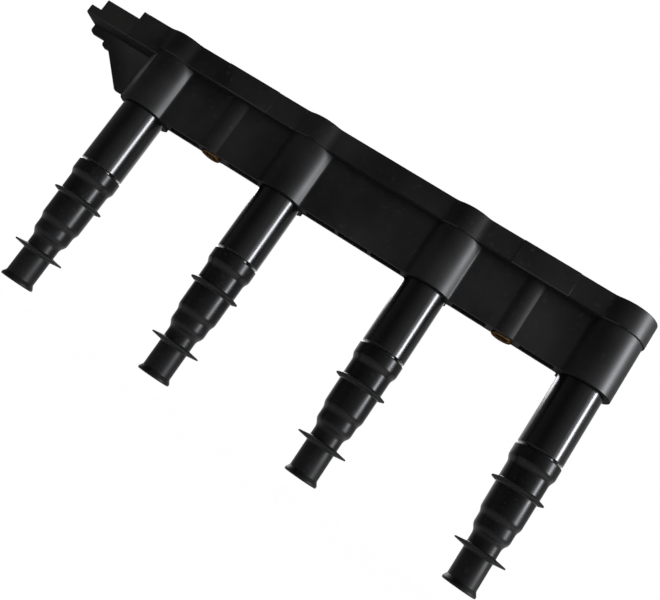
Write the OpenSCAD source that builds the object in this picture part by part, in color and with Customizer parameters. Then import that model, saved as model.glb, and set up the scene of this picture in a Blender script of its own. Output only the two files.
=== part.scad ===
// Ignition coil rail for a four-cylinder engine.
// One moulded rail carries a coil tower, a plug tube and a rubber plug boot over each cylinder.
// X runs along the rail, Z points up out of the plug wells, Z = 0 is the seat of the fixing bushes.

/* [Rail housing] */
// Distance between neighbouring spark plugs
plug_pitch = 86; // [80:0.5:96]
// Width of the lower body between the towers
web_w = 16; // [15:0.5:18]
// Radius of the round tower over each plug
tower_r = 14.8; // [14.2:0.1:15.5]
// Radius of the corner between a tower and the flat side
tower_fillet = 2; // [0.5:0.1:3]
// Height of the lower body's bottom edge above the seat
body_z = 0.8; // [0.4:0.1:1.5]
// How far the underside is cut up behind the front wall, clear of the cylinder head cover
rear_relief = 1.3; // [0.5:0.1:2.5]
// Wall of the moulded housing
wall = 2.4; // [2:0.1:2.8]
// Thickness of the tub's floor over the rim's ledge
floor_t = 1.6; // [1.4:0.1:2]
// Longest hollow left between the ribs of the underside
rib_pitch = 20; // [14:1:30]
// Thickness of the ribs of the underside
rib_t = 1.8; // [1.2:0.1:2.5]

/* [Rim] */
// Height of the rim's bottom edge above the seat
rim_z = 31; // [29:0.1:33]
// Height of the rim
rim_h = 13; // [12.5:0.1:16]
// Width of the rim between the towers
rim_w = 25.8; // [25:0.2:28]
// Radius of the rim's bulge round each tower
rim_lobe_r = 15.6; // [15:0.1:17]
// Radius that blends a bulge into the straight rim
rim_fillet = 8; // [4:0.5:12]
// Length of the raised pad on the rim beside each bolt
pad_len = 30.4; // [24:0.2:36]
// How far the pad stands out
pad_t = 0.3; // [0.2:0.05:0.6]
// From the first plug axis to the rim's end face at the connector
end_len = 27.5; // [24:0.5:32]
// How far the rim's bottom edge drops beside the connector
end_drop = 3.4; // [2.4:0.1:4]

/* [Cover] */
// Thickness of the cover plate
cover_t = 2.2; // [1.8:0.1:3]
// Thickness of the seal under the cover
seal_t = 0.6; // [0.4:0.1:1]
// Width of the rim left beside the cover
rim_edge = 1.1; // [0.8:0.1:1.3]
// Depth of the shallow panels in the cover
panel_depth = 0.7; // [0.4:0.1:1]
// Margin round each panel
panel_margin = 4; // [3:0.5:6]

/* [Fixing] */
// Diameter of the brass bush
bush_d = 11; // [9:0.2:12]
// Bore of the brass bush, for an M6 bolt
bush_bore_d = 6.6; // [6.4:0.1:7]
// Length of the brass bush
bush_len = 16; // [13:0.5:20]
// Radius of the boss round each bush
boss_r = 9.3; // [9:0.1:10]
// Diameter of the well for the bolt head and its socket
bolt_well_d = 14; // [13:0.2:14.6]

/* [Connector] */
// Length of the connector beyond the rim's end face
conn_len = 26.5; // [22:0.5:30]
// Height of the connector
conn_h = 11.7; // [11.2:0.1:13]
// Wall of the connector
conn_wall = 1.9; // [1.6:0.1:2.2]
// Thickness of the wall that holds the pins
conn_back = 3; // [2:0.5:5]
// How much further the lower lip reaches than the roof
lip_len = 6; // [3:0.5:8]
// Height of the lower lip's sides
lip_h = 5.2; // [3:0.2:6]
// Number of pins
pin_n = 7; // [4:1:7]
// Spacing of the pins
pin_pitch = 2.5; // [2.2:0.1:2.6]
// Width of a pin
pin_w = 1.5; // [1:0.1:1.7]
// Thickness of a pin
pin_t = 0.64; // [0.5:0.02:0.8]
// How far the pin tips stay back from the connector's mouth
pin_recess = 9; // [7:0.5:12]
// Thickness of the web under the connector
web_t = 2.4; // [1.8:0.1:3]
// Height of the web's foot above the seat
web_z = 3.1; // [2:0.1:5]
// Length of the web's foot beyond the first plug axis
web_foot = 21.5; // [19:0.5:24]
// Thickness of the upper and lower latch catches on the web
catch_t = [4.5, 3.5]; // [2.5:0.1:5.5]
// Radius of the catches' noses
catch_r = 2; // [1:0.1:2.4]
// How far the upper and lower catches stay back from the connector's lip
catch_back = [1, 11]; // [0:0.5:14]
// Length of the connector's tongue inside the housing
tongue_len = 5.4; // [4.5:0.1:7]
// How far the pins reach past the tongue
pin_reach = 4; // [3:0.5:6]

/* [Coils] */
// Diameter of the iron core
core_d = 9; // [8:0.2:9.4]
// Height of the coil
coil_h = 19; // [17:0.5:21]
// Wall of the two bobbins
bobbin_t = 0.8; // [0.6:0.1:1]
// Thickness of the bobbin flanges and chamber walls
flange_t = 0.9; // [0.6:0.1:1.2]
// Depth of the primary winding
primary_t = 1.8; // [1.4:0.1:2]
// Depth of the secondary winding
secondary_t = 2.0; // [1.6:0.1:2.2]
// Number of chambers of the secondary winding
chamber_n = 4; // [2:1:6]
// Thickness of the wall between coil and tube
shoulder_t = 2; // [1.5:0.1:3]
// How far the tube is pushed up into the tower
socket_len = 8.2; // [6:0.2:10]

/* [Plug tubes] */
// Diameter of the tube
tube_d = 23.4; // [22.4:0.1:23.8]
// Length of the tube below the seat
tube_len = 36.35; // [30:0.05:45]
// Diameter of the collar seen between tube and boot
collar_d = 18; // [17:0.2:20]
// Visible gap between tube and boot
collar_gap = 1; // [0.6:0.1:2]
// Diameter of the spigot that holds the boot
spigot_d = 16; // [15:0.2:17]
// Length of the spigot
spigot_len = 12.5; // [10:0.5:15]
// Bore of the tube
tube_bore_d = 7.6; // [7.2:0.1:8.4]
// Diameter of the terminal post
post_d = 3.2; // [2.5:0.1:4]
// Length of the terminal post below the seat
post_len = 10; // [6:0.5:14]
// Diameter of the terminal post's flange
post_flange_d = 10; // [9:0.2:11]
// Thickness of that flange
post_flange_t = 1.2; // [0.8:0.1:1.6]
// Length of the suppressor resistor
resistor_len = 34; // [28:0.5:36]

/* [Contact springs] */
// Diameter of the spring wire
wire_d = 0.9; // [0.7:0.05:1]
// Diameter of the spring at the middle of its wire
spring_d = 5.6; // [5:0.1:6]
// Number of turns
spring_turns = 9; // [7:1:11]
// Length of the spring at rest
spring_len = 34; // [30:0.5:36]
// Diameter of the contact cup
cup_d = 7.2; // [6.8:0.1:7.6]
// Height of the contact cup
cup_h = 5.2; // [4.5:0.1:6]
// Diameter of the hollow that takes the plug's terminal nut
nut_d = 6; // [5.6:0.1:6.4]
// Depth of that hollow
nut_depth = 3.6; // [3:0.1:4]
// Height of the nub that centres the spring
nub_len = 2.5; // [2:0.1:3]

/* [Plug boots] */
// Diameter of the boot's head
boot_head_d = 24; // [23:0.2:25]
// Length of the head
boot_head_len = 6.5; // [4:0.1:8]
// Diameter of the boot below its head
boot_mid_d = 21.5; // [20.5:0.1:22.5]
// Diameter at the foot of that stretch
boot_waist_d = 20.9; // [20:0.1:21.5]
// Length of that stretch
boot_mid_len = 24.4; // [20:0.2:30]
// Diameter of the neck
boot_neck_d = 18.8; // [18:0.1:19.8]
// Length of the neck
boot_neck_len = 5.9; // [4:0.1:8]
// Diameter of the nose
boot_nose_d = 15; // [14.4:0.1:16]
// Length of the nose
boot_nose_len = 22; // [20:0.2:24]
// Lengths of the sloped steps below the head, the waist and the neck
boot_steps = [2.5, 2.5, 2.9]; // [1.5:0.1:5]
// Diameter of the flared tip
boot_tip_d = 17.4; // [16.6:0.1:19]
// Length of the flare
boot_flare_len = 2; // [1.5:0.1:3]
// Length of the rounded tip below the flare
boot_tip_len = 1.2; // [0.8:0.1:2]
// Diameters of the upper and lower sealing fins
fin_d = [27, 26.4]; // [24:0.1:30]
// Distances of the fins below the boot's top
fin_drop = [18.85, 51.5]; // [14:0.05:58]
// Thickness of a fin at its root
fin_root_t = 2.5; // [1.8:0.1:3]
// Thickness of a fin at its edge
fin_edge_t = 0.9; // [0.6:0.1:1.4]
// Bore that grips the spark plug's insulator
plug_bore_d = 10.4; // [9.8:0.1:10.8]
// Length of that bore
plug_bore_len = 21.5; // [18:0.5:22]
// Bore round the contact spring
spring_bore_d = 8.4; // [8:0.1:9]

/* [Circuit] */
// Thickness of the driver board
board_t = 1.6; // [1:0.1:2]
// Length of the driver board
board_len = 50; // [45:0.5:52]
// How far the board reaches over the pins
pin_overlap = 3; // [2:0.5:4]
// Diameter of the posts under the board
board_post_d = 2.8; // [2.2:0.1:3.2]
// Sizes of a power transistor, along X, Y and Z
chip = [8, 9, 4]; // [3:0.1:10]
// Gap between the power transistors
chip_gap = 3; // [2:0.1:3.2]
// Thickness of a bus bar
bar_t = 0.8; // [0.5:0.1:0.9]
// Height of a bus bar
bar_h = 4; // [2:0.5:6]

/* [Hidden] */
$fn = 64;
// Gap between pieces that are pushed together
fit = 0.05;
// Gap between pieces that pass each other freely
clear = 0.3;
// Overlap of cuts that run out of a face
cut = 1;
// How deep a blend's circle bites into its lobe, so that their edges cross
bite = 0.02;
rail_black = "#232120";
tube_black = "#141316";
boot_black = "#1d1d20";
seal_grey = "#3a3a3c";
chip_black = "#1b1b1d";
board_green = "#2f5a3a";
bobbin_cream = "#d6cfba";
ceramic_white = "#e4e0d6";
brass = "#b98a45";
copper = "#b5703a";
steel = "#a9abad";

tower_n = 4;
tower_x = [for (i = [0:tower_n - 1]) (i - (tower_n - 1) / 2) * plug_pitch];
boss_x = [-plug_pitch, plug_pitch];
rim_top = rim_z + rim_h;
rim_end = tower_x[0] - end_len;
web_half = web_w / 2;
rim_half = rim_w / 2;

// Levels inside the tub, from the tube's seat up to the cover
shoulder_z = body_z + socket_len;
coil_z = shoulder_z + shoulder_t;
tray_z = rim_z + floor_t;
cover_z = rim_top - cover_t;
seal_z = cover_z - seal_t;

// Radii of the coil, from the core outwards
core_r = core_d / 2;
primary_in = core_r + fit + bobbin_t;
primary_out = primary_in + primary_t;
secondary_in = primary_out + 2 * fit + bobbin_t;
secondary_out = secondary_in + secondary_t;
well_r = secondary_out + bobbin_t + fit;

// Connector levels: its floor is level with the dropped end of the rim
conn_z = rim_z - end_drop;
conn_x = rim_end - conn_len;
conn_in_z = conn_z + conn_wall;
conn_in_h = conn_h - 2 * conn_wall;
pin_z = conn_in_z + conn_in_h / 2;
pin_tip_x = conn_x + pin_recess;
slot_half = pin_n * pin_pitch / 2 + conn_wall / 2;
slot_z = tray_z - conn_wall / 2;
slot_h = conn_z + conn_h - conn_wall / 2 - slot_z;
board_z = pin_z + pin_t / 2;
pin_end_x = rim_end + tongue_len + pin_reach;

// Levels of the tube, the boot and what the boot holds, all below the seat
tube_end = -tube_len;
boot_top = tube_end - collar_gap;
spigot_end = boot_top - spigot_len;
resistor_z = -post_len - resistor_len;
cup_top = resistor_z - spring_len;
cup_end = cup_top - cup_h;
boot_r = [boot_head_d, boot_mid_d, boot_waist_d, boot_neck_d, boot_nose_d] / 2;
head_end = boot_top - boot_head_len;
mid_top = head_end - boot_steps[0];
mid_end = mid_top - boot_mid_len;
neck_top = mid_end - boot_steps[1];
neck_end = neck_top - boot_neck_len;
nose_top = neck_end - boot_steps[2];
nose_end = nose_top - boot_nose_len;
flare_end = nose_end - boot_flare_len;
boot_end = flare_end - boot_tip_len;
edge_r = 0.6;
plug_bore_top = flare_end + plug_bore_len;

// Steps in a turn of the spring, and sides of its wire
ring_n = 8;
side_n = 6;
spring_rise = spring_len - wire_d - 2 * fit;
spring_steps = spring_turns * ring_n;

function numbered(name) = [for (i = [1:tower_n]) str(name, "_", i)];

// Points along an arc in the plane of a profile
function arc(centre, r, from, to, n = 4) =
    [for (i = [0:n]) centre + r * [cos(from + (to - from) * i / n), sin(from + (to - from) * i / n)]];

// A turned ring or tube between two heights
module ring(r_out, r_in, z, h) {
    translate([0, 0, z])
        difference() {
            cylinder(r = r_out, h = h);
            translate([0, 0, -cut]) cylinder(r = r_in, h = h + 2 * cut);
        }
}

// Plan of a round lobe and of the corners that blend it into straight sides, to its left, right or both
module lobe(half_w, lobe_r, fillet_r, left = true, right = true) {
    apart = lobe_r + fillet_r - bite;
    reach = sqrt(pow(apart, 2) - pow(half_w + fillet_r, 2));
    touch = (half_w + fillet_r) * lobe_r / apart;
    circle(lobe_r);
    for (side = concat(left ? [1] : [], right ? [0] : []), front = [0, 1])
        mirror([side, 0]) mirror([0, front])
            difference() {
                square([reach, touch]);
                translate([reach, half_w + fillet_r]) circle(fillet_r);
            }
}

// Plan of the lower body: a narrow strip with round towers and round bolt bosses
module body_plan() {
    translate([tower_x[0], -web_half]) square([tower_x[tower_n - 1] - tower_x[0], web_w]);
    for (i = [0:tower_n - 1])
        translate([tower_x[i], 0])
            lobe(web_half, tower_r, tower_fillet, left = i > 0, right = i < tower_n - 1);
    for (x = boss_x) translate([x, 0]) lobe(web_half, boss_r, tower_fillet);
}

// Plan of the rim, or of a shape that lies inside it by the same margin all round
module rim_plan(inset) {
    half = rim_half - inset;
    translate([rim_end + inset, -half]) square([tower_x[tower_n - 1] - rim_end - inset, 2 * half]);
    for (i = [0:tower_n - 1])
        translate([tower_x[i], 0])
            lobe(half, rim_lobe_r - inset, rim_fillet + inset, right = i < tower_n - 1);
}

// Raised pads on both sides of the rim beside the bolts
module rim_pads() {
    for (x = boss_x)
        translate([x - pad_len / 2, -rim_half - pad_t]) square([pad_len, rim_w + 2 * pad_t]);
}

// Web under the connector: a slanted foot and two round-nosed latch catches, one below the other
module connector_web() {
    foot_x = tower_x[0] - web_foot;
    lower_top = conn_z - catch_t[0];
    lower_end = lower_top - catch_t[1];
    slant_x = foot_x - (lower_end - web_z);
    translate([0, web_t / 2, 0])
        rotate([90, 0, 0])
            linear_extrude(web_t) {
                polygon([
                    [tower_x[0], web_z], [foot_x, web_z], [slant_x, lower_end],
                    [slant_x, conn_z], [tower_x[0], conn_z]]);
                latch_catch([conn_x + catch_back[0], lower_top], [foot_x, conn_z]);
                latch_catch([conn_x + catch_back[1], lower_end], [foot_x, lower_top]);
            }
}

// Outline of one latch catch between two corners, with its lower nose rounded
module latch_catch(low, high) {
    translate(low + [catch_r, catch_r]) circle(catch_r);
    polygon([low + [0, catch_r], [low[0], high[1]], high, [high[0], low[1]], low + [catch_r, 0]]);
}

// Hollows of the underside, between towers and bosses, split by ribs
module underside_pockets() {
    stations = [
        [tower_x[0], tower_r, boss_x[0], boss_r], [boss_x[0], boss_r, tower_x[1], tower_r],
        [tower_x[1], tower_r, tower_x[2], tower_r], [tower_x[2], tower_r, boss_x[1], boss_r],
        [boss_x[1], boss_r, tower_x[3], tower_r]];
    for (s = stations) {
        from = s[0] + s[1];
        span = s[2] - s[3] - from;
        cells = max(1, round(span / rib_pitch));
        cell = (span - (cells - 1) * rib_t) / cells;
        for (k = [0:cells - 1])
            translate([from + k * (cell + rib_t), -web_half + wall, body_z - cut])
                cube([cell, web_w - 2 * wall, shoulder_z - body_z + cut]);
    }
}

// Cuts that lift the underside behind the front wall, from tube to tube
module underside_relief() {
    reach = tube_d / 2 + clear;
    for (i = [0:tower_n - 2])
        translate([tower_x[i] + reach, wall - web_half, body_z - cut])
            cube([plug_pitch - 2 * reach, web_w, rear_relief + cut]);
}

// Inside of the tub: coil wells, the channel that joins them and the tray, round the bolt chimneys
module tub() {
    difference() {
        union() {
            for (x = tower_x) translate([x, 0, coil_z]) cylinder(r = well_r, h = rim_top - coil_z);
            translate([tower_x[0], -web_half + wall, coil_z])
                cube([tower_x[tower_n - 1] - tower_x[0], web_w - 2 * wall, rim_top - coil_z]);
            translate([0, 0, tray_z]) linear_extrude(rim_h) rim_plan(wall);
            translate([0, 0, seal_z]) linear_extrude(rim_h) rim_plan(rim_edge);
        }
        for (x = boss_x) translate([x, 0, 0]) cylinder(r = boss_r, h = rim_top);
    }
}

// Posts that carry the driver board
module board_posts() {
    off_x = well_r + board_post_d;
    off_y = (web_w - board_post_d) / 2;
    for (x = [-off_x, off_x], y = [-off_y, off_y])
        translate([tower_x[0] + x, y, tray_z - cut]) cylinder(d = board_post_d, h = board_z - tray_z + cut);
}

module rail_housing() {
    color(rail_black)
        union() {
            difference() {
                union() {
                    translate([0, 0, body_z]) linear_extrude(rim_z - body_z + cut) body_plan();
                    translate([0, 0, rim_z]) linear_extrude(rim_h) {
                        rim_plan(0);
                        rim_pads();
                    }
                    translate([rim_end, -rim_half, conn_z])
                        cube([end_len, rim_w, end_drop + cut]);
                    connector_web();
                }
                tub();
                underside_pockets();
                for (x = tower_x)
                    translate([x, 0, 0]) {
                        translate([0, 0, body_z - cut]) cylinder(r = tube_d / 2 + fit, h = socket_len + cut);
                        translate([0, 0, shoulder_z - cut])
                            cylinder(r = post_d / 2 + fit, h = shoulder_t + 2 * cut);
                    }
                for (x = boss_x)
                    translate([x, 0, 0]) {
                        cylinder(r = bush_d / 2 + fit, h = bush_len);
                        translate([0, 0, bush_len]) cylinder(d = bolt_well_d, h = rim_top);
                    }
                underside_relief();
                translate([rim_end - cut, -slot_half, slot_z])
                    cube([tongue_len + cut + fit, 2 * slot_half, slot_h]);
            }
            board_posts();
        }
}

module top_cover() {
    bay = plug_pitch - 2 * (boss_r + panel_margin);
    color(rail_black)
        difference() {
            translate([0, 0, cover_z]) linear_extrude(cover_t) rim_plan(rim_edge + fit);
            for (x = boss_x) translate([x, 0, 0]) cylinder(r = boss_r + fit, h = rim_top + cut);
            for (x = tower_x)
                translate([x - bay / 2, -rim_half + rim_edge + panel_margin, rim_top - panel_depth])
                    cube([bay, rim_w - 2 * (rim_edge + panel_margin), panel_depth + cut]);
        }
}

module cover_seal() {
    color(seal_grey)
        translate([0, 0, seal_z])
            linear_extrude(seal_t)
                difference() {
                    rim_plan(rim_edge + fit);
                    rim_plan(wall);
                }
}

module bolt_bush(i) {
    color(brass)
        translate([boss_x[i - 1], 0, 0]) ring(bush_d / 2, bush_bore_d / 2, 0, bush_len);
}

// Slots for the pins, or the pins themselves when nothing is added
module pin_row(grow) {
    for (k = [0:pin_n - 1])
        translate([
            pin_tip_x - grow, (k - (pin_n - 1) / 2) * pin_pitch - pin_w / 2 - grow, pin_z - pin_t / 2 - grow])
            cube([pin_end_x - pin_tip_x + 2 * grow, pin_w + 2 * grow, pin_t + 2 * grow]);
}

module connector_shell() {
    color(rail_black)
        difference() {
            union() {
                translate([conn_x, -rim_half, conn_z]) cube([conn_len, rim_w, conn_h]);
                translate([rim_end - cut, -slot_half + fit, slot_z + fit])
                    cube([tongue_len + cut, 2 * (slot_half - fit), slot_h - 2 * fit]);
            }
            translate([conn_x - cut, -rim_half + conn_wall, conn_in_z])
                cube([conn_len - conn_back + cut, rim_w - 2 * conn_wall, conn_in_h]);
            translate([conn_x - cut, -rim_half - cut, conn_z + lip_h])
                cube([lip_len + cut, rim_w + 2 * cut, conn_h]);
            pin_row(fit);
        }
}

module terminal_pins() {
    color(brass) pin_row(0);
}

module driver_board() {
    color(board_green)
        translate([pin_end_x - pin_overlap, -rim_half + wall + clear, board_z])
            cube([board_len, rim_w - 2 * (wall + clear), board_t]);
}

module driver_chips() {
    color(chip_black)
        for (k = [0:tower_n - 1])
            translate([pin_end_x + chip_gap + k * (chip[0] + chip_gap), -chip[1] / 2, board_z + board_t])
                cube(chip);
}

module bus_bars() {
    from = pin_end_x + board_len;
    color(copper)
        for (side = [-1, 1])
            translate([from, side * (boss_r + clear + bar_t / 2) - bar_t / 2, tray_z])
                cube([tower_x[tower_n - 1] - from, bar_t, bar_h]);
}

module coil_core() {
    color(steel) translate([0, 0, coil_z]) cylinder(r = core_r, h = coil_h);
}

module primary_bobbin() {
    color(bobbin_cream) {
        ring(primary_in, core_r + fit, coil_z, coil_h);
        for (z = [coil_z, coil_z + coil_h - flange_t]) ring(primary_out, core_r + fit, z, flange_t);
    }
}

module primary_winding() {
    color(copper)
        ring(primary_out - fit, primary_in + fit, coil_z + flange_t + fit, coil_h - 2 * (flange_t + fit));
}

module secondary_bobbin() {
    step = (coil_h - flange_t) / chamber_n;
    color(bobbin_cream) {
        ring(secondary_in, primary_out + fit, coil_z, coil_h);
        for (k = [0:chamber_n])
            ring(secondary_out + bobbin_t, primary_out + fit, coil_z + k * step, flange_t);
    }
}

module secondary_winding() {
    step = (coil_h - flange_t) / chamber_n;
    color(copper)
        for (k = [0:chamber_n - 1])
            ring(
                secondary_out, secondary_in + fit, coil_z + k * step + flange_t + fit,
                step - flange_t - 2 * fit);
}

module terminal_post() {
    color(brass) {
        translate([0, 0, -post_len]) cylinder(d = post_d, h = coil_z + post_len);
        translate([0, 0, shoulder_z - post_flange_t]) cylinder(d = post_flange_d, h = post_flange_t);
    }
}

module suppressor() {
    color(ceramic_white) translate([0, 0, resistor_z]) cylinder(r = tube_bore_d / 2 - fit, h = resistor_len);
}

module plug_tube() {
    chamfer = 0.3;
    tube_r = tube_d / 2;
    spigot_r = spigot_d / 2;
    bore_r = tube_bore_d / 2;
    seat_r = post_flange_d / 2 + fit;
    seat_z = shoulder_z - post_flange_t;
    color(tube_black)
        rotate_extrude()
            polygon([
                [seat_r, shoulder_z], [tube_r, shoulder_z], [tube_r, tube_end + chamfer],
                [tube_r - chamfer, tube_end], [collar_d / 2, tube_end], [collar_d / 2, boot_top + 2 * fit],
                [spigot_r, boot_top + 2 * fit], [spigot_r, spigot_end + chamfer],
                [spigot_r - chamfer, spigot_end], [bore_r, spigot_end], [bore_r, seat_z], [seat_r, seat_z]]);
}

// Helix of the spring's wire: the middle of the wire and the ring of points round it
function wire_middle(k) =
    let (a = 360 * k / ring_n)
    let (z = cup_top + fit + wire_d / 2 + spring_rise * k / spring_steps)
    [spring_d / 2 * cos(a), spring_d / 2 * sin(a), z];
function wire_ring(k) =
    let (a = 360 * k / ring_n)
    let (lead = atan2(spring_rise / spring_turns, PI * spring_d))
    let (out = [cos(a), sin(a), 0])
    let (up = [sin(a) * sin(lead), -cos(a) * sin(lead), cos(lead)])
    [for (s = [0:side_n - 1])
        wire_middle(k) + wire_d / 2 * (cos(360 * s / side_n) * out + sin(360 * s / side_n) * up)];
spring_gap = min([for (i = [0:ring_n - 1], j = [i + ring_n / 2:2 * ring_n])
    norm(wire_middle(j) - wire_middle(i))]) - wire_d;
echo(spring_gap = spring_gap);

module contact_spring() {
    points = [for (k = [0:spring_steps]) each wire_ring(k)];
    last = spring_steps * side_n;
    sides = [for (k = [0:spring_steps - 1], s = [0:side_n - 1])
        let (a = k * side_n + s, b = k * side_n + (s + 1) % side_n)
        each [[a, b, b + side_n], [a, b + side_n, a + side_n]]];
    caps = [for (s = [1:side_n - 2]) each [[0, s + 1, s], [last, last + s, last + s + 1]]];
    color(steel) polyhedron(points, concat(sides, caps));
}

module plug_contact() {
    nub_r = spring_d / 2 - wire_d / 2 - clear;
    color(brass)
        rotate_extrude()
            polygon([
                [0, cup_top + nub_len], [nub_r, cup_top + nub_len], [nub_r, cup_top], [cup_d / 2, cup_top],
                [cup_d / 2, cup_end], [nut_d / 2, cup_end], [nut_d / 2, cup_end + nut_depth],
                [0, cup_end + nut_depth]]);
}

// One side of a fin, from its root on the boot out round its edge and back to the root
function fin(k, root_r) =
    let (z = boot_top - fin_drop[k], r = fin_d[k] / 2 - fin_edge_t / 2)
    let (edge = arc([r, z], fin_edge_t / 2, 90, -90))
    concat([[root_r, z + fin_root_t / 2]], edge, [[root_r, z - fin_root_t / 2]]);

module plug_boot() {
    socket_r = spigot_d / 2 + fit;
    color(boot_black)
        rotate_extrude()
            polygon(concat(
                [[socket_r, boot_top]],
                arc([boot_r[0] - edge_r, boot_top - edge_r], edge_r, 90, 0),
                [[boot_r[0], head_end], [boot_r[1], mid_top]],
                fin(0, (boot_r[1] + boot_r[2]) / 2),
                [[boot_r[2], mid_end], [boot_r[3], neck_top], [boot_r[3], neck_end], [boot_r[4], nose_top]],
                fin(1, boot_r[4]),
                [[boot_r[4], nose_end], [boot_tip_d / 2, flare_end]],
                arc([boot_tip_d / 2 - edge_r, boot_end + edge_r], edge_r, 0, -90),
                [[plug_bore_d / 2 + edge_r, boot_end], [plug_bore_d / 2, flare_end],
                 [plug_bore_d / 2, plug_bore_top],
                 [spring_bore_d / 2, plug_bore_top + (plug_bore_d - spring_bore_d) / 2],
                 [spring_bore_d / 2, spigot_end - clear], [socket_r, spigot_end - clear]]));
}

rail_housing();
top_cover();
cover_seal();
connector_shell();
terminal_pins();
driver_board();
driver_chips();
bus_bars();
for (i = [1:len(boss_x)]) {
    bolt_bush(i);
}
for (i = [1:tower_n]) translate([tower_x[i - 1], 0, 0]) {
    coil_core();
    primary_bobbin();
    primary_winding();
    secondary_bobbin();
    secondary_winding();
    terminal_post();
    suppressor();
    plug_tube();
    contact_spring();
    plug_contact();
    plug_boot();
}
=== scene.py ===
"""Ignition coil rail for a four-cylinder engine, dressed for its portrait.

The part hangs as it is bolted down: X runs along the rail, Z points up out of the plug wells.
"""
from math import copysign, cos, pi, radians, sin, tan

import bmesh
import bpy
from mathutils import Matrix, Vector


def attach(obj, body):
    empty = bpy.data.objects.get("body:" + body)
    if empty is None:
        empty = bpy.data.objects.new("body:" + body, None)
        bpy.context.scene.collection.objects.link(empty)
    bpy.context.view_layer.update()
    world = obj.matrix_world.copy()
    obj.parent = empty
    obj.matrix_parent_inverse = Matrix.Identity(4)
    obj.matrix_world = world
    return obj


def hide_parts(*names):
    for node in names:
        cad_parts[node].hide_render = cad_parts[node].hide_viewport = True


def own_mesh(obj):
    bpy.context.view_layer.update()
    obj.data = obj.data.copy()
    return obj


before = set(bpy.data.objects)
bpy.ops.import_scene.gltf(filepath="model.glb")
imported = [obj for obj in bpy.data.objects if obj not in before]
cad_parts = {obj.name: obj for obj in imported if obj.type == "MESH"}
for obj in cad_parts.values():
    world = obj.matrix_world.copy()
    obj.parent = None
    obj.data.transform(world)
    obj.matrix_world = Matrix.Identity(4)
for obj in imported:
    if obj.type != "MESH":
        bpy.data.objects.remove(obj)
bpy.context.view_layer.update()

# RAIL MOULDING
# The long body is one injection moulding in glass-filled PBT, with four coil towers,
# two bolt bosses and a wide rim. Its edges are rounded as the mould rounds them.
MM = 0.001
PLUG_X = (-129 * MM, -43 * MM, 43 * MM, 129 * MM)
BOLT_X = (-86 * MM, 86 * MM)
RIM_Z = 31 * MM
RIM_TOP = 44 * MM
RIM_END_Z = 27.6 * MM
RIM_HALF = 12.9 * MM
PAD_HALF = 13.2 * MM
RIM_LEFT = -136.4 * MM
RIM_ROUND = 0.7 * MM
END_ROUND = 0.9 * MM
EDGE_ROUND = 0.4 * MM
FOOT_TOP = 2.2 * MM
FOOT_ROUND = 0.25 * MM
FACES_DOWN = -0.7
FACES_DOWN_A_LITTLE = -0.15
FACES_AN_END = 0.9
FACES_A_SIDE = 0.1
HAIR = 0.01 * MM
WELD = 0.002 * MM
FLAT = radians(0.5)
SHARP = radians(35)


def linear(hex_text):
    """Linear RGBA of an sRGB hex colour."""
    values = [int(hex_text[i:i + 2], 16) / 255 for i in (1, 3, 5)]
    return [v / 12.92 if v <= 0.04045 else ((v + 0.055) / 1.055) ** 2.4 for v in values] + [1.0]


def add(tree, kind, settings=None, inputs=None):
    """Add a node, set its options, and fill or link its sockets."""
    node = tree.nodes.new(kind)
    for name, value in (settings or {}).items():
        setattr(node, name, value)
    for name, value in (inputs or {}).items():
        if isinstance(value, bpy.types.NodeSocket):
            tree.links.new(value, node.inputs[name])
        else:
            node.inputs[name].default_value = value
    return node


def new_material(name):
    """A node material, with its tree, its shader and the object coordinates of its surface."""
    material = bpy.data.materials.new(name)
    material.use_nodes = True
    tree = material.node_tree
    place = add(tree, "ShaderNodeTexCoord").outputs["Object"]
    return material, tree, tree.nodes["Principled BSDF"], place


def coat(material, *objects):
    """Give each object this one material."""
    for obj in objects:
        obj.data.materials.clear()
        obj.data.materials.append(material)


def nodes_named(*starts):
    """The CAD nodes whose names start so."""
    return [bpy.data.objects[name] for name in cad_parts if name.startswith(starts)]


def open_mesh(obj):
    """Open one object for editing, with nothing else selected."""
    bpy.ops.object.select_all(action="DESELECT")
    obj.select_set(True)
    bpy.context.view_layer.objects.active = obj
    bpy.ops.object.mode_set(mode="EDIT")
    bpy.ops.mesh.select_mode(type="EDGE")
    bpy.ops.mesh.select_all(action="DESELECT")


def pick(obj, wanted):
    """Select the edges between two faces that a test wants."""
    mesh = bmesh.from_edit_mesh(obj.data)
    for edge in mesh.edges:
        edge.select_set(len(edge.link_faces) == 2 and bool(wanted(edge)))
    mesh.select_flush_mode()
    bmesh.update_edit_mesh(obj.data)


def is_corner(edge):
    """True for an outward corner sharp enough to be rounded."""
    return edge.is_convex and edge.calc_face_angle(0) > SHARP


def height(edge):
    """Heights of an edge's two ends."""
    return [v.co.z for v in edge.verts]


def at_height(edge, level):
    """True for an edge that lies at one height."""
    return all(abs(z - level) < HAIR for z in height(edge))


def is_outer(edge):
    """True for an edge along the outer side of the rim's end or of the connector."""
    return all(abs(v.co.y) > RIM_HALF - HAIR for v in edge.verts)


def copy_of(node, name):
    """A new piece with a copy of a node's mesh."""
    piece = bpy.data.objects.new(name, bpy.data.objects[node].data.copy())
    bpy.context.collection.objects.link(piece)
    return piece


def merge(piece):
    """Open a copied mesh, weld its loose triangles and dissolve its flats."""
    open_mesh(piece)
    bpy.ops.mesh.select_all(action="SELECT")
    bpy.ops.mesh.remove_doubles(threshold=WELD)
    bpy.ops.mesh.dissolve_degenerate(threshold=WELD)
    bpy.ops.mesh.dissolve_limited(angle_limit=FLAT)
    bpy.ops.mesh.select_all(action="DESELECT")


def hang(piece, body, slot, *nodes):
    """Make a piece ride on a body in place of its nodes. The slot is not used."""
    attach(piece, body)
    if nodes:
        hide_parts(*nodes)


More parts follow.
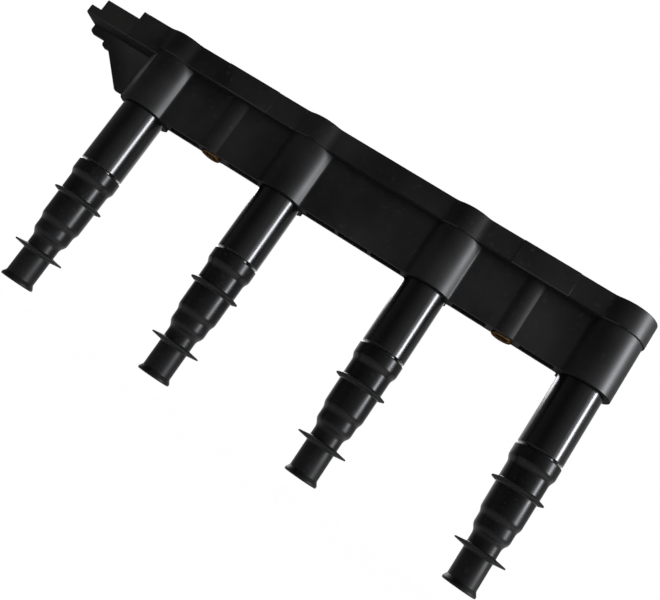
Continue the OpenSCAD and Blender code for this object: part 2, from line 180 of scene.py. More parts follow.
def close_mesh(piece, body, slot, *nodes, angle=40):
    """Close an edited mesh, even out its shading, and hang it on its body."""
    bpy.ops.object.mode_set(mode="OBJECT")
    bpy.ops.object.shade_smooth_by_angle(angle=radians(angle))
    even = piece.modifiers.new("Even shading", "WEIGHTED_NORMAL")
    even.keep_sharp = True
    even.weight = 90
    bpy.ops.object.modifier_apply(modifier=even.name)
    hang(piece, body, slot, *nodes)


def recoat(piece, material, wanted):
    """Give a second material to the faces that a test wants."""
    piece.data.materials.append(material)
    for face in piece.data.polygons:
        if wanted(face):
            face.material_index = 1


# Glass-filled PBT, moulded in a spark-eroded tool: satin and warm black, with a fine grain,
# cloudy flow marks and a little dust. The real grain of 0.2 mm is too fine for the picture,
# so it is drawn at 0.7 mm.
rail_plastic, tree, shader, place = new_material("Glass-filled PBT, moulded satin black")
grain = add(tree, "ShaderNodeTexNoise", inputs={
    "Vector": place, "Scale": 1 / (0.7 * MM), "Detail": 2})
clouds = add(tree, "ShaderNodeTexNoise", inputs={
    "Vector": place, "Scale": 1 / (30 * MM), "Detail": 3})
dust = add(tree, "ShaderNodeTexNoise", inputs={
    "Vector": place, "Scale": 1 / (2.4 * MM), "Detail": 5})
specks = add(tree, "ShaderNodeMapRange", inputs={
    "Value": dust.outputs["Fac"], "From Min": 0.62, "From Max": 0.78, "To Max": 0.4})
marks = add(tree, "ShaderNodeMapRange", inputs={
    "Value": clouds.outputs["Fac"], "From Min": 0.35, "From Max": 0.65})
flow = add(tree, "ShaderNodeMix", {"data_type": "RGBA"}, {
    0: marks.outputs["Result"], 6: linear("#030303"), 7: linear("#0c0c0b")})
dusty = add(tree, "ShaderNodeMix", {"data_type": "RGBA"}, {
    0: specks.outputs["Result"], 6: flow.outputs[2], 7: linear("#252523")})
satin = add(tree, "ShaderNodeMapRange", inputs={
    "Value": clouds.outputs["Fac"], "From Min": 0.3, "From Max": 0.7,
    "To Min": 0.38, "To Max": 0.46})
bump = add(tree, "ShaderNodeBump", inputs={
    "Height": grain.outputs["Fac"], "Strength": 0.25, "Distance": 0.02 * MM})
shader.inputs["Specular IOR Level"].default_value = 0.17
tree.links.new(dusty.outputs[2], shader.inputs["Base Color"])
tree.links.new(satin.outputs["Result"], shader.inputs["Roughness"])
tree.links.new(bump.outputs["Normal"], shader.inputs["Normal"])

# The same PBT with painted shade on the rail's underside and in the corner below its rim, where
# shade falls: dull, dark and blotched there.
rail_painted_shade, tree, shader, place = new_material("Glass-filled PBT, dull, with painted shade")
blotch = add(tree, "ShaderNodeTexNoise", inputs={
    "Vector": place, "Scale": 1 / (3 * MM), "Detail": 4})
shade_tone = add(tree, "ShaderNodeMix", {"data_type": "RGBA"}, {
    0: blotch.outputs["Fac"], 6: linear("#080808"), 7: linear("#0e0e0d")})
bump = add(tree, "ShaderNodeBump", inputs={
    "Height": blotch.outputs["Fac"], "Strength": 0.3, "Distance": 0.05 * MM})
shader.inputs["Roughness"].default_value = 0.8
shader.inputs["Specular IOR Level"].default_value = 0.03
tree.links.new(shade_tone.outputs[2], shader.inputs["Base Color"])
tree.links.new(bump.outputs["Normal"], shader.inputs["Normal"])


def is_painted_shade(face):
    """True for the faces that get painted shade: the rail's underside, and the foot of the rim
    right of the first bolt.
    """
    underside = face.normal.z < FACES_DOWN or (
        abs(face.normal.x) > FACES_AN_END and face.center.z < FOOT_TOP)
    in_corner = (
        face.center.x > BOLT_X[0] and abs(face.center.z - RIM_Z) < RIM_ROUND
        and abs(face.normal.x) < FACES_A_SIDE and face.normal.z < FACES_DOWN_A_LITTLE)
    return underside or in_corner


# The pads beside the bolts are pieces of their own, so the rim is first made flat there.
rail = copy_of("rail_housing", "rail_moulding")
for vertex in rail.data.vertices:
    if abs(abs(vertex.co.y) - PAD_HALF) < HAIR:
        vertex.co.y = copysign(RIM_HALF, vertex.co.y)
merge(rail)
pick(rail, lambda e: is_corner(e) and at_height(e, RIM_Z) and min(
    v.co.x for v in e.verts) > RIM_LEFT)
bpy.ops.mesh.bevel(offset=RIM_ROUND, segments=4, affect="EDGES", clamp_overlap=False)
pick(rail, lambda e: is_corner(e) and at_height(e, RIM_END_Z) and is_outer(e))
bpy.ops.mesh.bevel(offset=END_ROUND, segments=5, affect="EDGES", clamp_overlap=False)
pick(rail, lambda e: is_corner(e) and min(height(e)) > RIM_TOP - HAIR)
bpy.ops.mesh.bevel(offset=EDGE_ROUND, segments=2, affect="EDGES", clamp_overlap=True)
pick(rail, lambda e: is_corner(e) and max(height(e)) < FOOT_TOP)
bpy.ops.mesh.bevel(offset=FOOT_ROUND, segments=3, affect="EDGES", clamp_overlap=True)
bpy.ops.mesh.select_all(action="SELECT")
bpy.ops.mesh.dissolve_degenerate(threshold=WELD)
coat(rail_plastic, rail)
close_mesh(rail, "rail", "rail_plastic", "rail_housing")
# Painted shade: the underside and the corner below the rim take the dull, dark PBT.
recoat(rail, rail_painted_shade, is_painted_shade)

# RIM PADS
# Beside each bolt the rim has a slightly raised flat on its front and its back,
# moulded in one with it. Its foot follows the rounding of the rim.
PAD_SIZE = (30.4 * MM, 1.8 * MM, RIM_TOP - RIM_Z)
PAD_EDGE = 0.12 * MM
for number, x in enumerate(BOLT_X, start=1):
    for side, word in ((-1, "front"), (1, "back")):
        bpy.ops.mesh.primitive_cube_add(size=1)
        pad = bpy.context.object
        pad.name = f"rim_pad_{word}_{number}"
        open_mesh(pad)
        bpy.ops.mesh.select_all(action="SELECT")
        bpy.ops.transform.resize(value=PAD_SIZE)
        bpy.ops.transform.translate(
            value=(x, side * (PAD_HALF - PAD_SIZE[1] / 2), (RIM_TOP + RIM_Z) / 2))
        pick(pad, lambda e: max(height(e)) < RIM_Z + HAIR and all(
            side * v.co.y > PAD_HALF - HAIR for v in e.verts))
        bpy.ops.mesh.bevel(offset=RIM_ROUND, segments=4, affect="EDGES")
        pick(pad, lambda e: is_corner(e) and all(
            side * v.co.y > RIM_HALF - RIM_ROUND for v in e.verts))
        bpy.ops.mesh.bevel(offset=PAD_EDGE, segments=2, affect="EDGES")
        coat(rail_plastic, pad)
        close_mesh(pad, "rail", "rail_plastic")

# BOLT BUSHES
# A turned brass bush is moulded into each boss, so that the bolt clamps on metal.
# Its foot stands a little proud of the plastic.
RING_WAVE = 2.198 * MM  # a wave texture of this size lays its rings 0.7 mm apart
bush_brass, tree, shader, place = new_material("Free-cutting brass, turned")
rings = add(tree, "ShaderNodeTexWave", {"wave_type": "BANDS", "bands_direction": "Z"}, {
    "Vector": place, "Scale": 1 / RING_WAVE, "Distortion": 1.5})
tarnish = add(tree, "ShaderNodeTexNoise", inputs={
    "Vector": place, "Scale": 1 / (3 * MM), "Detail": 4})
metal = add(tree, "ShaderNodeMix", {"data_type": "RGBA"}, {
    0: tarnish.outputs["Fac"], 6: linear("#4e3d29"), 7: linear("#2f261b")})
polish = add(tree, "ShaderNodeMapRange", inputs={
    "Value": tarnish.outputs["Fac"], "To Min": 0.4, "To Max": 0.6})
bump = add(tree, "ShaderNodeBump", inputs={
    "Height": rings.outputs["Fac"], "Strength": 0.3, "Distance": 0.02 * MM})
shader.inputs["Metallic"].default_value = 1
shader.inputs["Specular Tint"].default_value = linear("#8a7860")
tree.links.new(metal.outputs[2], shader.inputs["Base Color"])
tree.links.new(polish.outputs["Result"], shader.inputs["Roughness"])
tree.links.new(bump.outputs["Normal"], shader.inputs["Normal"])
for number in (1, 2):
    bush = copy_of(f"bolt_bush_{number}", f"bush_turning_{number}")
    merge(bush)
    pick(bush, is_corner)
    bpy.ops.mesh.bevel(offset=EDGE_ROUND, segments=2, affect="EDGES")
    coat(bush_brass, bush)
    close_mesh(bush, "rail", "bush_brass", f"bolt_bush_{number}")

# COILS
# In each tower an iron core carries two bobbins of PBT with enamelled copper wire on them.
# They are shut in by the cover, and keep the shapes of their nodes.
core_iron, tree, shader, place = new_material("Sintered iron, pressed")
speckle = add(tree, "ShaderNodeTexNoise", inputs={
    "Vector": place, "Scale": 1 / (0.5 * MM), "Detail": 3})
metal = add(tree, "ShaderNodeMix", {"data_type": "RGBA"}, {
    0: speckle.outputs["Fac"], 6: linear("#5d5b58"), 7: linear("#86837e")})
shader.inputs["Metallic"].default_value = 1
shader.inputs["Roughness"].default_value = 0.55
tree.links.new(metal.outputs[2], shader.inputs["Base Color"])
coat(core_iron, *nodes_named("coil_core"))

bobbin_plastic, tree, shader, place = new_material("PBT, moulded natural cream")
clouds = add(tree, "ShaderNodeTexNoise", inputs={
    "Vector": place, "Scale": 1 / (6 * MM), "Detail": 3})
cream = add(tree, "ShaderNodeMix", {"data_type": "RGBA"}, {
    0: clouds.outputs["Fac"], 6: linear("#cfc7b1"), 7: linear("#e0d9c6")})
shader.inputs["Roughness"].default_value = 0.45
tree.links.new(cream.outputs[2], shader.inputs["Base Color"])
coat(bobbin_plastic, *nodes_named("primary_bobbin", "secondary_bobbin"))

WIRE_WAVE = 2.512 * MM  # lays the turns of wire 0.8 mm apart
copper_wire, tree, shader, place = new_material("Enamelled copper wire, wound")
turns = add(tree, "ShaderNodeTexWave", {"wave_type": "BANDS", "bands_direction": "Z"}, {
    "Vector": place, "Scale": 1 / WIRE_WAVE, "Distortion": 0.4})
enamel = add(tree, "ShaderNodeMix", {"data_type": "RGBA"}, {
    0: turns.outputs["Fac"], 6: linear("#7a3c1c"), 7: linear("#c07a42")})
bump = add(tree, "ShaderNodeBump", inputs={
    "Height": turns.outputs["Fac"], "Strength": 0.8, "Distance": 0.1 * MM})
shader.inputs["Metallic"].default_value = 1
shader.inputs["Roughness"].default_value = 0.32
tree.links.new(enamel.outputs[2], shader.inputs["Base Color"])
tree.links.new(bump.outputs["Normal"], shader.inputs["Normal"])
coat(copper_wire, *nodes_named("primary_winding", "secondary_winding"))

# DRIVER CIRCUIT
# A glass-epoxy board with four power transistors, and the two copper bars that feed the coils.
# All of it lies in the tub under the cover.
circuit_board, tree, shader, place = new_material("Glass-epoxy board, green solder mask")
weave = add(tree, "ShaderNodeTexBrick", inputs={
    "Vector": place, "Scale": 1 / (3 * MM), "Color1": linear("#24512f"),
    "Color2": linear("#2a5c37"), "Mortar": linear("#3c7548"), "Mortar Size": 0.04})
shader.inputs["Roughness"].default_value = 0.35
tree.links.new(weave.outputs["Color"], shader.inputs["Base Color"])
coat(circuit_board, *nodes_named("driver_board"))

chip_resin, tree, shader, place = new_material("Epoxy moulding compound, matt black")
speckle = add(tree, "ShaderNodeTexNoise", inputs={
    "Vector": place, "Scale": 1 / (0.4 * MM), "Detail": 2})
resin = add(tree, "ShaderNodeMix", {"data_type": "RGBA"}, {
    0: speckle.outputs["Fac"], 6: linear("#151516"), 7: linear("#252527")})
shader.inputs["Roughness"].default_value = 0.6
tree.links.new(resin.outputs[2], shader.inputs["Base Color"])
coat(chip_resin, *nodes_named("driver_chips"))

copper_strip, tree, shader, place = new_material("Copper strip, rolled")
drawn = add(tree, "ShaderNodeMapping", inputs={"Vector": place, "Scale": (0.05, 1, 1)})
scratches = add(tree, "ShaderNodeTexNoise", inputs={
    "Vector": drawn.outputs["Vector"], "Scale": 1 / (0.3 * MM), "Detail": 3})
metal = add(tree, "ShaderNodeMix", {"data_type": "RGBA"}, {
    0: scratches.outputs["Fac"], 6: linear("#a05a30"), 7: linear("#c98757")})
shader.inputs["Metallic"].default_value = 1
shader.inputs["Roughness"].default_value = 0.3
tree.links.new(metal.outputs[2], shader.inputs["Base Color"])
coat(copper_strip, *nodes_named("bus_bars"))

# COVER
# A flat plate of the same PBT lies in the rim on a thin silicone seal and is welded to it.
# Its four shallow panels and its two round bolt openings show only from above.
seal_rubber, tree, shader, place = new_material("Silicone, grey")
clouds = add(tree, "ShaderNodeTexNoise", inputs={
    "Vector": place, "Scale": 1 / (4 * MM), "Detail": 3})
grey = add(tree, "ShaderNodeMix", {"data_type": "RGBA"}, {
    0: clouds.outputs["Fac"], 6: linear("#2e2e30"), 7: linear("#444447")})
shader.inputs["Roughness"].default_value = 0.6
tree.links.new(grey.outputs[2], shader.inputs["Base Color"])
coat(seal_rubber, *nodes_named("cover_seal"))

cover = copy_of("top_cover", "cover_plate")
merge(cover)
pick(cover, lambda e: is_corner(e) and min(height(e)) > RIM_TOP - HAIR)
bpy.ops.mesh.bevel(offset=EDGE_ROUND, segments=2, affect="EDGES", clamp_overlap=True)
coat(rail_plastic, cover)
close_mesh(cover, "rail", "rail_plastic", "top_cover")

# CONNECTOR
# The socket for the engine harness is a flat box with a lower lip, moulded in the rail's PBT.
# Seven flat brass pins stand in it, tinned so that they don't corrode.
MOUTH_X = -160 * MM
PIN_ROUND = 0.15 * MM
connector = copy_of("connector_shell", "connector_socket")
merge(connector)
pick(connector, lambda e: is_corner(e) and at_height(e, RIM_END_Z) and is_outer(e))
bpy.ops.mesh.bevel(offset=END_ROUND, segments=5, affect="EDGES", clamp_overlap=False)
pick(connector, lambda e: is_corner(e) and min(v.co.x for v in e.verts) < MOUTH_X)
bpy.ops.mesh.bevel(offset=EDGE_ROUND, segments=3, affect="EDGES", clamp_overlap=True)
coat(rail_plastic, connector)
close_mesh(connector, "rail", "rail_plastic", "connector_shell")
# Painted shade: the connector's underside takes the dull, dark PBT.
recoat(connector, rail_painted_shade, lambda face: face.normal.z < FACES_DOWN)

pin_tin, tree, shader, place = new_material("Tinned brass, stamped")
drawn = add(tree, "ShaderNodeMapping", inputs={"Vector": place, "Scale": (0.1, 1, 1)})
scratches = add(tree, "ShaderNodeTexNoise", inputs={
    "Vector": drawn.outputs["Vector"], "Scale": 1 / (0.3 * MM), "Detail": 3})
metal = add(tree, "ShaderNodeMix", {"data_type": "RGBA"}, {
    0: scratches.outputs["Fac"], 6: linear("#a8a49a"), 7: linear("#cfccc4")})
shader.inputs["Metallic"].default_value = 1
shader.inputs["Roughness"].default_value = 0.28
tree.links.new(metal.outputs[2], shader.inputs["Base Color"])
pins = copy_of("terminal_pins", "terminal_blades")
merge(pins)
pick(pins, is_corner)
bpy.ops.mesh.bevel(offset=PIN_ROUND, segments=2, affect="EDGES", clamp_overlap=True)
coat(pin_tin, pins)
close_mesh(pins, "rail", "contact_brass", "terminal_pins")

# HIGH-VOLTAGE PATH
# Down each tube a brass post passes the spark to a ceramic suppressor resistor.
# Both are shut in, and keep the shapes of their nodes.
contact_brass, tree, shader, place = new_material("Brass, deep drawn")
clouds = add(tree, "ShaderNodeTexNoise", inputs={
    "Vector": place, "Scale": 1 / (2 * MM), "Detail": 4})
metal = add(tree, "ShaderNodeMix", {"data_type": "RGBA"}, {
    0: clouds.outputs["Fac"], 6: linear("#b58d4d"), 7: linear("#d2ae6c")})
shader.inputs["Metallic"].default_value = 1
shader.inputs["Roughness"].default_value = 0.3
tree.links.new(metal.outputs[2], shader.inputs["Base Color"])
coat(contact_brass, *nodes_named("terminal_post", "plug_contact"))

ceramic, tree, shader, place = new_material("Alumina ceramic, glazed white")
clouds = add(tree, "ShaderNodeTexNoise", inputs={
    "Vector": place, "Scale": 1 / (5 * MM), "Detail": 3})
glaze = add(tree, "ShaderNodeMix", {"data_type": "RGBA"}, {
    0: clouds.outputs["Fac"], 6: linear("#dcd8cd"), 7: linear("#ece9e1")})
shader.inputs["Roughness"].default_value = 0.15
tree.links.new(glaze.outputs[2], shader.inputs["Base Color"])
coat(ceramic, *nodes_named("suppressor"))

# PLUG TUBES
# Each tube is moulded in glossy black thermoset and pressed up into its tower.
# At its foot a short collar and a narrower spigot carry the rubber boot.
TURNED_SIDES = 96


def rounded(corners, steps=4):
    """Points along corners of radius, height and rounding, all in millimetres."""
    points = []
    for i, (r, z, round_r) in enumerate(corners):
        corner = Vector((r, z))
        if not round_r:
            points.append(corner)
            continue
        before = (Vector(corners[i - 1][:2]) - corner).normalized()
        after = (Vector(corners[(i + 1) % len(corners)][:2]) - corner).normalized()
        half = before.angle(after) / 2
        middle = corner + (before + after).normalized() * (round_r / sin(half))
        first = corner + before * (round_r / tan(half)) - middle
        last = corner + after * (round_r / tan(half)) - middle
        turn = first.angle_signed(last)
        for k in range(steps + 1):
            points.append(middle + Matrix.Rotation(-turn * k / steps, 2) @ first)
    return [(p.x * MM, p.y * MM) for p in points]


def turned(name, profile, x):
    """A piece turned round a plug axis: rings extruded in turn along a closed profile."""
    bpy.ops.mesh.primitive_circle_add(vertices=TURNED_SIDES, radius=profile[0][0])
    piece = bpy.context.object
    piece.name = name
    open_mesh(piece)
    bpy.ops.mesh.select_all(action="SELECT")
    bpy.ops.transform.translate(value=(0, 0, profile[0][1]))
    for (r0, z0), (r1, z1) in zip(profile, profile[1:] + profile[:1]):
        bpy.ops.mesh.extrude_region_move(TRANSFORM_OT_translate={"value": (0, 0, z1 - z0)})
        bpy.ops.transform.resize(value=(r1 / r0, r1 / r0, 1), center_override=(0, 0, z1))
    bpy.ops.mesh.select_all(action="SELECT")
    bpy.ops.mesh.remove_doubles(threshold=WELD)
    bpy.ops.mesh.normals_make_consistent(inside=False)
    bpy.ops.transform.translate(value=(x, 0, 0))
    return piece


def repeat(piece, name, x):
    """A copy of a piece from the first plug axis, with its own mesh, at another plug axis."""
    twin = bpy.data.objects.new(name, piece.data.copy())
    twin.data.transform(Matrix.Translation((x - PLUG_X[0], 0, 0)))
    bpy.context.collection.objects.link(twin)
    return twin


# Mineral-filled phenolic thermoset with a mould-polished skin: deep black, clear highlights,
# slight waviness and finger marks.
tube_plastic, tree, shader, place = new_material("Thermoset, mould-polished gloss black")
smears = add(tree, "ShaderNodeTexNoise", inputs={
    "Vector": place, "Scale": 1 / (16 * MM), "Detail": 1})
waves = add(tree, "ShaderNodeTexNoise", inputs={
    "Vector": place, "Scale": 1 / (7 * MM), "Detail": 1})
depth = add(tree, "ShaderNodeMix", {"data_type": "RGBA"}, {
    0: smears.outputs["Fac"], 6: linear("#040404"), 7: linear("#060606")})
gloss = add(tree, "ShaderNodeMapRange", inputs={
    "Value": smears.outputs["Fac"], "From Min": 0.3, "From Max": 0.75,
    "To Min": 0.16, "To Max": 0.21})
bump = add(tree, "ShaderNodeBump", inputs={
    "Height": waves.outputs["Fac"], "Strength": 0.15, "Distance": 0.05 * MM})
shader.inputs["Specular IOR Level"].default_value = 0.22
tree.links.new(depth.outputs[2], shader.inputs["Base Color"])
tree.links.new(gloss.outputs["Result"], shader.inputs["Roughness"])
tree.links.new(bump.outputs["Normal"], shader.inputs["Normal"])

tube_profile = rounded([
    (5.05, 9, 0), (11.7, 9, 0), (11.7, -36.35, 0.3), (9, -36.35, 0), (9, -37.25, 0),
    (8, -37.25, 0), (8, -49.85, 0.5), (3.8, -49.85, 0), (3.8, 7.8, 0), (5.05, 7.8, 0)])
tube = turned("tube_1", tube_profile, PLUG_X[0])
coat(tube_plastic, tube)
close_mesh(tube, "rail", "tube_plastic", "plug_tube_1")
for number in (2, 3, 4):
    twin = repeat(tube, f"tube_{number}", PLUG_X[number - 1])
    hang(twin, "rail", "tube_plastic", f"plug_tube_{number}")

# CONTACT SPRINGS
# A coiled steel spring under each suppressor presses a brass cup on to the plug's terminal.
# The real spring shortens as the cup is pushed up; here it keeps its length and rides on the rail.
SPRING_TOP = -44 * MM
SPRING_LENGTH = 34 * MM
SPRING_TURNS = 9
SPRING_GAP = 0.05 * MM
WIRE_R = 0.45 * MM
WIRE_SIDES = 12
COIL_R = 2.8 * MM
COIL_STEPS = 28
spring_steel, tree, shader, place = new_material("Spring steel wire, drawn")
drawing = add(tree, "ShaderNodeTexNoise", inputs={
    "Vector": place, "Scale": 1 / (0.6 * MM), "Detail": 3})
metal = add(tree, "ShaderNodeMix", {"data_type": "RGBA"}, {
    0: drawing.outputs["Fac"], 6: linear("#8c8e90"), 7: linear("#bcbec0")})
shader.inputs["Metallic"].default_value = 1
shader.inputs["Roughness"].default_value = 0.25
tree.links.new(metal.outputs[2], shader.inputs["Base Color"])

spring_foot = SPRING_TOP - SPRING_LENGTH + WIRE_R + SPRING_GAP
spring_rise = SPRING_LENGTH - 2 * (WIRE_R + SPRING_GAP)
for number, x in enumerate(PLUG_X, start=1):
    bpy.ops.mesh.primitive_circle_add(vertices=WIRE_SIDES, radius=WIRE_R)
    spring = bpy.context.object
    spring.name = f"spring_coil_{number}"
    open_mesh(spring)
    bpy.ops.mesh.select_all(action="SELECT")
    bpy.ops.transform.rotate(value=pi / 2, orient_axis="X", center_override=(0, 0, 0))
    bpy.ops.transform.translate(value=(COIL_R, 0, spring_foot))
    bpy.ops.object.mode_set(mode="OBJECT")
    coil = spring.modifiers.new("Coil", "SCREW")
    coil.screw_offset = spring_rise / SPRING_TURNS
    coil.iterations = SPRING_TURNS
    coil.steps = coil.render_steps = COIL_STEPS
    bpy.ops.object.modifier_apply(modifier=coil.name)
    open_mesh(spring)
    bpy.ops.mesh.select_all(action="SELECT")
    bpy.ops.mesh.fill_holes(sides=0)
    bpy.ops.mesh.normals_make_consistent(inside=False)
    bpy.ops.transform.translate(value=(x, 0, 0))
    coat(spring_steel, spring)
    close_mesh(spring, "rail", "spring_steel", f"contact_spring_{number}")
    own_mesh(spring)

# PLUG BOOTS
# Each boot is moulded in black silicone rubber and grips the spigot above and the plug below.
# Two thin fins seal it in the plug well, and its flared tip leads it over the plug.
boot_rubber, tree, shader, place = new_material("Silicone rubber, moulded black")
bloom = add(tree, "ShaderNodeTexNoise", inputs={
    "Vector": place, "Scale": 1 / (11 * MM), "Detail": 4})
grain = add(tree, "ShaderNodeTexNoise", inputs={
    "Vector": place, "Scale": 1 / (0.9 * MM), "Detail": 2})
dust = add(tree, "ShaderNodeTexNoise", inputs={
    "Vector": place, "Scale": 1 / (1.6 * MM), "Detail": 4})
specks = add(tree, "ShaderNodeMapRange", inputs={
    "Value": dust.outputs["Fac"], "From Min": 0.6, "From Max": 0.76, "To Max": 0.2})
rubber = add(tree, "ShaderNodeMix", {"data_type": "RGBA"}, {
    0: bloom.outputs["Fac"], 6: linear("#040404"), 7: linear("#070707")})
dusty = add(tree, "ShaderNodeMix", {"data_type": "RGBA"}, {
    0: specks.outputs["Result"], 6: rubber.outputs[2], 7: linear("#2a2a2c")})
soft = add(tree, "ShaderNodeMapRange", inputs={
    "Value": bloom.outputs["Fac"], "From Min": 0.3, "From Max": 0.7,
    "To Min": 0.22, "To Max": 0.28})
along = add(tree, "ShaderNodeSeparateXYZ", inputs={"Vector": place})
handled = add(tree, "ShaderNodeMapRange", inputs={
    "Value": along.outputs["Z"], "From Min": -60 * MM, "From Max": -100 * MM, "To Max": 0.2})
worn = add(tree, "ShaderNodeMath", {"operation": "ADD"}, {
    0: soft.outputs["Result"], 1: handled.outputs["Result"]})
bump = add(tree, "ShaderNodeBump", inputs={
    "Height": grain.outputs["Fac"], "Strength": 0.2, "Distance": 0.03 * MM})
shader.inputs["Specular IOR Level"].default_value = 0.095
tree.links.new(dusty.outputs[2], shader.inputs["Base Color"])
tree.links.new(worn.outputs["Value"], shader.inputs["Roughness"])
tree.links.new(bump.outputs["Normal"], shader.inputs["Normal"])

# The fins rub against the plug well, so they are duller and greyer than the rest.
fin_rubber, tree, shader, place = new_material("Silicone rubber, scuffed at the fins")
scuffs = add(tree, "ShaderNodeTexNoise", inputs={
    "Vector": place, "Scale": 1 / (2.5 * MM), "Detail": 4})
rubbed = add(tree, "ShaderNodeMix", {"data_type": "RGBA"}, {
    0: scuffs.outputs["Fac"], 6: linear("#101010"), 7: linear("#191919")})
shader.inputs["Roughness"].default_value = 0.7
shader.inputs["Specular IOR Level"].default_value = 0.03
tree.links.new(rubbed.outputs[2], shader.inputs["Base Color"])

FINS = ((-56.2 * MM, 11 * MM), (-88.85 * MM, 8 * MM))  # middle height and root radius
FIN_THICKNESS = 2.5 * MM


def is_fin(face):
    """True for the faces of the first boot's two fins."""
    out = (face.center.xy - Vector((PLUG_X[0], 0))).length
    return any(
        out > root and abs(face.center.z - level) < FIN_THICKNESS / 2 for level, root in FINS)


boot_profile = rounded([
    (8.05, -37.35, 0.2), (12, -37.35, 0.8), (12, -43.85, 4.5), (10.75, -46.35, 4.5),
    (10.65, -54.95, 0.5), (13.05, -55.75, 0), (13.5, -55.95, 0), (13.5, -56.45, 0),
    (13.05, -56.65, 0), (10.6, -57.45, 0.5), (10.45, -70.75, 5), (9.4, -73.25, 5),
    (9.4, -79.15, 4.5), (7.5, -82.05, 4.5), (7.5, -87.6, 0.5), (12.75, -88.4, 0),
    (13.2, -88.6, 0), (13.2, -89.1, 0), (12.75, -89.3, 0), (7.5, -90.1, 0.5),
    (7.5, -104.05, 0.8), (8.7, -106.05, 0.5), (8.7, -107.25, 0.5), (5.8, -107.25, 0.4),
    (5.2, -106.05, 0.3), (5.2, -84.55, 0), (4.2, -83.55, 0), (4.2, -50.15, 0), (8.05, -50.15, 0)])
boot = turned("boot_rubber_1", boot_profile, PLUG_X[0])
coat(boot_rubber, boot)
close_mesh(boot, "boot_1", "boot_rubber", "plug_boot_1", angle=60)
recoat(boot, fin_rubber, is_fin)
for number in (2, 3, 4):
    twin = repeat(boot, f"boot_rubber_{number}", PLUG_X[number - 1])
    hang(twin, f"boot_{number}", "boot_rubber", f"plug_boot_{number}")

# STUDIO
# The part hangs well above a pale floor, with a white sweep behind it and a dimmer room around.
# A tall window light stands far to the right with a dim panel beside it, a weak light behind.
FLOOR_Z = -1.2
FLOOR_SIZE = 40
floor_paint, tree, shader, place = new_material("Floor, matt white paint")
mottle = add(tree, "ShaderNodeTexNoise", inputs={"Vector": place, "Scale": 1 / 0.4, "Detail": 2})
white = add(tree, "ShaderNodeMix", {"data_type": "RGBA"}, {
    0: mottle.outputs["Fac"], 6: linear("#fdfdfd"), 7: linear("#ffffff")})
shader.inputs["Roughness"].default_value = 0.9
shader.inputs["Specular IOR Level"].default_value = 0
tree.links.new(white.outputs[2], shader.inputs["Base Color"])
bpy.ops.mesh.primitive_plane_add(size=FLOOR_SIZE, location=(0, 0, FLOOR_Z))
floor = bpy.context.object
floor.name = "floor"
coat(floor_paint, floor)

# The camera stands low in front of the third plug, rolled so that the rail runs down to the right.
# Its place and turn were fitted to the outlines of the tubes and boots in the photo.
PICTURE_WIDTH = 660
FOCAL_PIXELS = 825.449
CAMERA_PLACE = (0.074506, -0.390988, -0.093466)
right = Vector((0.82927327, 0.05038479, 0.55656735))
down = Vector((0.5333056, 0.22627521, -0.81509795))
ahead = Vector((-0.16700594, 0.97275943, 0.16077349))
lens = bpy.data.cameras.new("Camera")
lens.sensor_width = 36
lens.lens = FOCAL_PIXELS * lens.sensor_width / PICTURE_WIDTH
lens.clip_start = 0.01
camera = bpy.data.objects.new("Camera", lens)
camera.matrix_world = Matrix.Translation(CAMERA_PLACE) @ Matrix(
    (right, -down, -ahead)).transposed().to_4x4()
bpy.context.collection.objects.link(camera)
bpy.context.scene.camera = camera
bpy.context.scene.view_settings.view_transform = "Standard"

# The camera and all reflections see the same room: a white sweep round the middle of the picture,
# grey beside it, and in front of the part dark on the left and white on the right.
# The even light on matt surfaces comes from a plain white sky.
WALL_LEVELS = (
    (0, 0.25), (0.05, 0.22), (0.2, 0.07), (0.36, 0.14),
    (0.54, 0.42), (0.63, 0.52), (0.72, 0.78), (0.8, 1))
BACK_LEFT, BACK_RIGHT = 0.25, 0.5
CORNER = 0.12
SWEEP_EDGE, SWEEP_CORE = 0.74, 0.875
WHITE = (1, 1, 1, 1)
world = bpy.data.worlds.new("Studio")
world.use_nodes = True
bpy.context.scene.world = world
tree = world.node_tree
look = add(tree, "ShaderNodeTexCoord").outputs["Generated"]
ray = add(tree, "ShaderNodeSeparateXYZ", inputs={"Vector": look})
across = add(tree, "ShaderNodeMapRange", inputs={"Value": ray.outputs["X"], "From Min": -1})
wall = add(tree, "ShaderNodeValToRGB", inputs={"Fac": across.outputs["Result"]})
stops = wall.color_ramp.elements
for spot, tone in WALL_LEVELS:
    stop = stops.new(spot) if spot else stops[0]
    stop.color = (tone, tone, tone, 1)
behind = add(tree, "ShaderNodeMapRange", inputs={
    "Value": ray.outputs["X"], "From Min": -1, "To Min": BACK_LEFT, "To Max": BACK_RIGHT})
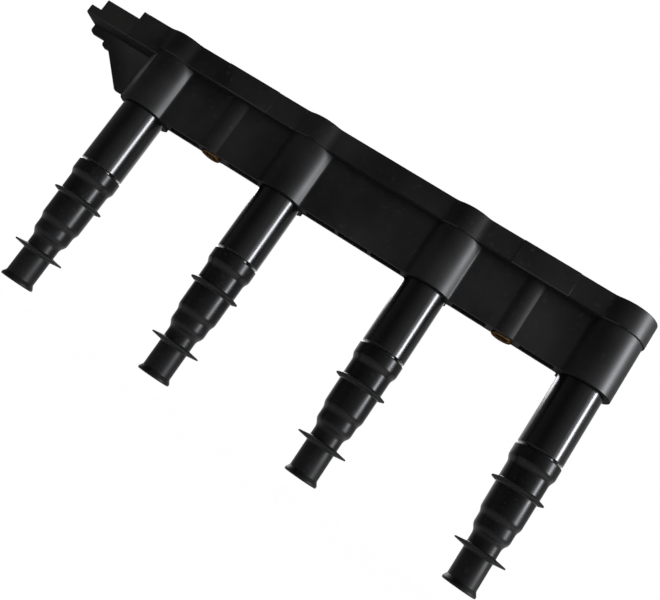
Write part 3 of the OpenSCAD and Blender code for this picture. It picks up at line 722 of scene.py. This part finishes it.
back = add(tree, "ShaderNodeMapRange", {"interpolation_type": "SMOOTHSTEP"}, {
    "Value": ray.outputs["Y"], "From Min": -CORNER, "From Max": CORNER})
walls = add(tree, "ShaderNodeMix", {"data_type": "RGBA"}, {
    0: back.outputs["Result"], 6: wall.outputs["Color"], 7: behind.outputs["Result"]})
towards = add(tree, "ShaderNodeVectorMath", {"operation": "DOT_PRODUCT"}, {0: look, 1: ahead})
sweep = add(tree, "ShaderNodeMapRange", {"interpolation_type": "SMOOTHSTEP"}, {
    "Value": towards.outputs["Value"], "From Min": SWEEP_EDGE, "From Max": SWEEP_CORE})
room = add(tree, "ShaderNodeMix", {"data_type": "RGBA"}, {
    0: sweep.outputs["Result"], 6: walls.outputs[2], 7: WHITE})
path = add(tree, "ShaderNodeLightPath")
shown = add(tree, "ShaderNodeMath", {"operation": "MAXIMUM"}, {
    0: path.outputs["Is Camera Ray"], 1: path.outputs["Is Glossy Ray"]})
shown = add(tree, "ShaderNodeMath", {"operation": "MAXIMUM"}, {
    0: shown.outputs["Value"], 1: path.outputs["Is Transmission Ray"]})
air = add(tree, "ShaderNodeMix", {"data_type": "RGBA"}, {
    0: shown.outputs["Value"], 6: WHITE, 7: room.outputs[2]})
tree.links.new(air.outputs[2], tree.nodes["Background"].inputs["Color"])

LAMP_DISTANCE = 2.6


def lamp(name, azimuth, elevation, size, power, colour):
    """An area lamp that looks at the part from an azimuth, counted from the front to the right."""
    turn, lift = radians(azimuth), radians(elevation)
    light = bpy.data.lights.new(name, "AREA")
    light.shape = "RECTANGLE"
    light.size, light.size_y = size
    light.energy = power
    light.color = colour[:3]
    obj = bpy.data.objects.new(name, light)
    away = Vector((sin(turn) * cos(lift), -cos(turn) * cos(lift), sin(lift)))
    obj.location = away * LAMP_DISTANCE
    obj.rotation_euler = away.to_track_quat("Z", "Y").to_euler()
    bpy.context.collection.objects.link(obj)


lamp("Window", 74, 10, (0.5, 1.5), 150, linear("#f8faff"))
lamp("Panel", 62, 10, (0.9, 1.5), 12, linear("#f3f5ff"))
lamp("Back", 215, 25, (1.2, 1.2), 40, linear("#f8faff"))
